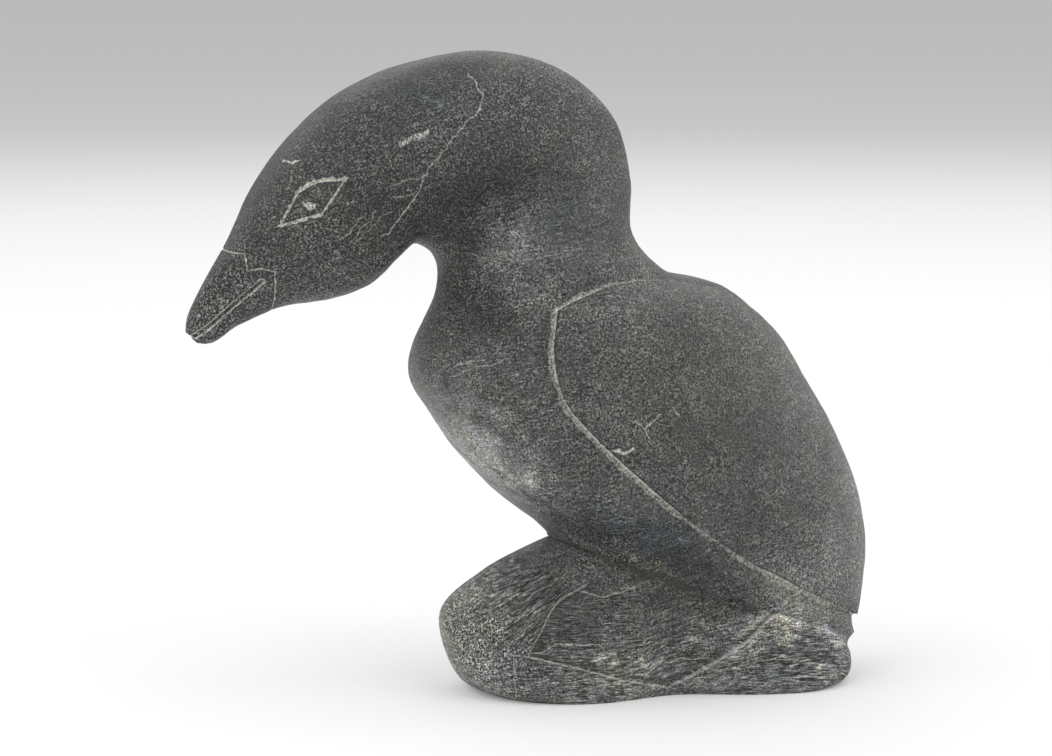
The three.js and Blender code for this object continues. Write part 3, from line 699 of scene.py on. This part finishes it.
def soapstone():
    material = bpy.data.materials.new("soapstone")
    g = Graph(material)
    mm = g.scaled(g.add("TexCoord", out="Object"), (1000, 1000, 1000))
    strokes = g.attribute("strokes", "Vector")
    filed, speckle = g.attribute("filed"), g.attribute("speckle")

    clouds = g.between(g.noise(mm, 0.08, 2), 0.35, 0.65, -0.25, 0.25)
    mottle = g.between(g.noise(mm, 0.6, 2, 0.65), 0.3, 0.7, -0.3, 0.3)
    grain = g.between(g.noise(mm, 2.3, 1, 0.6), 0.3, 0.7, -1.9, 1.9)
    streak = g.noise(g.scaled(strokes, STREAK_SCALE), 1.0, 1, 0.6)
    scratch = g.noise(g.scaled(strokes, SCRATCH_SCALE), 1.0, 2, 0.6)
    filing = g.math("ADD", g.between(streak, 0.3, 0.7, -1.5, 1.5), g.between(scratch, 0.3, 0.7, -0.8, 0.8))
    fine = g.math("ADD", g.times(grain, g.between(filed, 0, 1, 1, 0.35)), g.times(filing, filed))
    clumps = g.between(g.noise(mm, 0.3, 2, 0.6), 0.35, 0.65, 0.8, 1.2)
    fine = g.times(fine, g.times(speckle, clumps))
    # the stone's tone with its painted light and shade, plus random clouds and mottling
    tone_and_shading = g.math("ADD", g.attribute("tone_and_shading"), g.math("ADD", clouds, mottle))
    sparkle = g.math("MAXIMUM", 0.15, g.math("ADD", 1.0, g.times(fine, SPARKLE)))
    sparkle = g.math("POWER", sparkle, 2.2)
    colour = g.scaled(STONE, g.times(sparkle, g.math("POWER", 2.0, tone_and_shading)))

    hue = g.between(g.noise(mm, 0.16, 2, 0.6), 0.4, 0.6)
    tint = g.mix(hue, COOL_TINT, WARM_TINT)
    tint = g.mix(g.add("Clamp", {0: g.attribute("blue")}), tint, BLUE_TINT)
    tint = g.mix(g.add("Clamp", {0: g.attribute("olive")}), tint, OLIVE_TINT)
    colour = g.scaled(colour, tint)
    # painted shade in the scoop's rim, the waist crease and the groove along the spine
    colour = g.mix(g.attribute("painted_shade"), colour, RECESS_SHADE)

    broken = g.noise(mm, 1.5, 2, 0.7)
    waver = g.between(g.noise(mm, 0.9, 2, 0.6), 0.3, 0.7, -0.45, 0.45)
    worn = g.between(fine, -1.2, 0.8, 0.55, 1)
    dust = g.times(g.attribute("dusty"), g.between(broken, 0.45, 0.65))
    colour = g.mix(g.times(dust, 0.7), colour, DUST)

    # the seam just inside the wing's border, painted dark as the shade at the foot of the wing's wall, and
    # the pale band and its bright core outside it
    off_wing = g.math("ADD", g.attribute("off_wing"), g.times(waver, 0.3))
    shade_seam = g.math("ABSOLUTE", g.math("ADD", off_wing, 0.25))
    colour = g.mix(g.between(shade_seam, 0.1, 0.4, 0.85, 0), colour, CUT_SHADE)
    outside = g.between(off_wing, -0.03, 0.1)
    from_rim = g.math("SUBTRACT", off_wing, g.attribute("ribbon"))
    band = g.times(g.between(from_rim, -0.3, 0.3, 1, 0), g.between(broken, 0.35, 0.6, 0.1, 0.6))
    core_rim = g.math("SUBTRACT", off_wing, g.times(g.attribute("ribbon"), 0.4))
    core = g.times(g.between(core_rim, -0.1, 0.15, 1, 0), g.between(broken, 0.3, 0.55, 0.45, 0.9))
    ribbon = g.times(outside, g.math("MAXIMUM", band, core))

    # pale lines, each between two dark rims of painted shade along their cut walls
    marks = g.attribute("marks")
    off_line = g.math("ABSOLUTE", g.math("ADD", g.attribute("off_line"), waver))
    off_line = g.math("ADD", off_line, g.times(waver, 0.6))
    line = g.times(g.times(marks, g.between(off_line, 0.7, 1.2, 1, 0)), g.between(broken, 0.3, 0.6, 0.4, 1))
    rim = g.times(g.times(marks, 0.6), g.between(off_line, 2.0, 3.2, 1, 0))
    colour = g.mix(rim, colour, CUT_SHADE)
    raw = g.times(g.math("MAXIMUM", ribbon, line), worn)
    colour = g.mix(raw, colour, RAW_STONE)

    polish = g.between(mottle, -0.4, 0.4, 0.38, 0.48)
    rough = g.math("ADD", polish, g.times(g.math("MAXIMUM", raw, filed), 0.25))
    bump = g.add("Bump", {"Strength": 0.35, "Distance": 0.0003, "Height": fine})
    shader = {"Base Color": colour, "Roughness": rough, "Normal": bump, "Specular IOR Level": 0.5}
    g.add("OutputMaterial", {"Surface": g.add("BsdfPrincipled", shader)})
    return material


def carve():
    points, faces = refined_net(edge_target)
    normals = vertex_normals(points, faces)
    out, masks, strokes = relief(points)
    mesh = bpy.data.meshes.new("carved_bird")
    mesh.from_pydata((points + normals * out[:, None]) * MM, [], faces.tolist())
    flat = (points[faces][:, :, 2] == 0).all(1)
    mesh.polygons.foreach_set("use_smooth", ~flat)
    for name, value in masks.items():
        mesh.attributes.new(name, "FLOAT", "POINT").data.foreach_set("value", value.astype(np.float32))
    layer = mesh.attributes.new("strokes", "FLOAT_VECTOR", "POINT")
    layer.data.foreach_set("vector", strokes.astype(np.float32).ravel())
    mesh.update()
    mesh.validate()
    bird = bpy.data.objects.new("carved_bird", mesh)
    bpy.context.scene.collection.objects.link(bird)
    mesh.materials.append(soapstone())
    return bird


# ---------------------------------------------------------------- camera, floor and light
CAMERA_AZIMUTH, CAMERA_ELEVATION = math.radians(-18), math.radians(8)
CAMERA_DISTANCE = 0.950
CAMERA_LENS = 139.8
CAMERA_SENSOR = 36
CAMERA_SHIFT_RIGHT, CAMERA_SHIFT_UP = -0.03233, 0.06977  # from the origin to the middle of the picture
FLOOR_HALF, FLOOR_GREY, FLOOR_GLOW = 6.0, 0.72, 0.15


def add_camera():
    back = Vector((math.sin(CAMERA_AZIMUTH) * math.cos(CAMERA_ELEVATION),
                   -math.cos(CAMERA_AZIMUTH) * math.cos(CAMERA_ELEVATION),
                   math.sin(CAMERA_ELEVATION)))
    right = Vector((math.cos(CAMERA_AZIMUTH), math.sin(CAMERA_AZIMUTH), 0))
    camera = bpy.data.objects.new("camera", bpy.data.cameras.new("camera"))
    target = right * CAMERA_SHIFT_RIGHT + back.cross(right) * CAMERA_SHIFT_UP
    camera.location = target + back * CAMERA_DISTANCE
    camera.rotation_euler = (-back).to_track_quat("-Z", "Y").to_euler()
    camera.data.lens = CAMERA_LENS
    camera.data.sensor_width = CAMERA_SENSOR
    bpy.context.scene.collection.objects.link(camera)
    bpy.context.scene.camera = camera


def add_floor():
    mesh = bpy.data.meshes.new("floor")
    corners = [(-1, -1), (1, -1), (1, 1), (-1, 1)]
    mesh.from_pydata([(FLOOR_HALF * x, FLOOR_HALF * y, 0) for x, y in corners], [], [(0, 1, 2, 3)])
    floor = bpy.data.objects.new("floor", mesh)
    bpy.context.scene.collection.objects.link(floor)
    material = bpy.data.materials.new("floor")
    g = Graph(material)
    pale = (FLOOR_GREY, FLOOR_GREY, FLOOR_GREY, 1)
    shader = {"Base Color": pale, "Roughness": 0.9, "Specular IOR Level": 0.2,
              "Emission Color": (1, 1, 1, 1), "Emission Strength": FLOOR_GLOW}
    g.add("OutputMaterial", {"Surface": g.add("BsdfPrincipled", shader)})
    mesh.materials.append(material)


LIGHTS = [  # name, azimuth from the camera, elevation, size in metres, power in watts
    ("top", 0, 88, 1.0, 2.4),
    ("front_right", 45, 35, 0.9, 4.1),
    ("right", 90, 35, 0.9, 4.8),
    ("back_right", 135, 35, 0.9, 2.0),
    ("back", 180, 35, 0.9, 2.6),
    ("back_left", 225, 35, 0.9, 2.0),
    ("left", 270, 35, 0.9, 3.4),
    ("front_left", 315, 35, 0.9, 5.4),
]
LIGHT_DISTANCE = 1.3
LIGHT_CENTRE = Vector((-0.03, 0, 0.07))
WORLD_STRENGTH = 0.45


def add_lights():
    for name, azimuth, elevation, size, power in LIGHTS:
        a, e = math.radians(azimuth) + CAMERA_AZIMUTH, math.radians(elevation)
        heading = Vector((math.sin(a) * math.cos(e), -math.cos(a) * math.cos(e), math.sin(e)))
        lamp = bpy.data.lights.new(name, "AREA")
        lamp.shape, lamp.size, lamp.energy = "SQUARE", size, power
        light = bpy.data.objects.new(name, lamp)
        light.location = LIGHT_CENTRE + heading * LIGHT_DISTANCE
        light.rotation_euler = (-heading).to_track_quat("-Z", "Y").to_euler()
        bpy.context.scene.collection.objects.link(light)
    world = bpy.data.worlds.new("studio")
    bpy.context.scene.world = world
    world.use_nodes = True
    background = world.node_tree.nodes["Background"]
    background.inputs["Color"].default_value = (1, 1, 1, 1)
    background.inputs["Strength"].default_value = WORLD_STRENGTH


bird = carve()
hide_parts("bird_carving")
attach(bird, "root")
add_camera()
add_floor()
add_lights()
bpy.context.scene.view_settings.view_transform = "Standard"
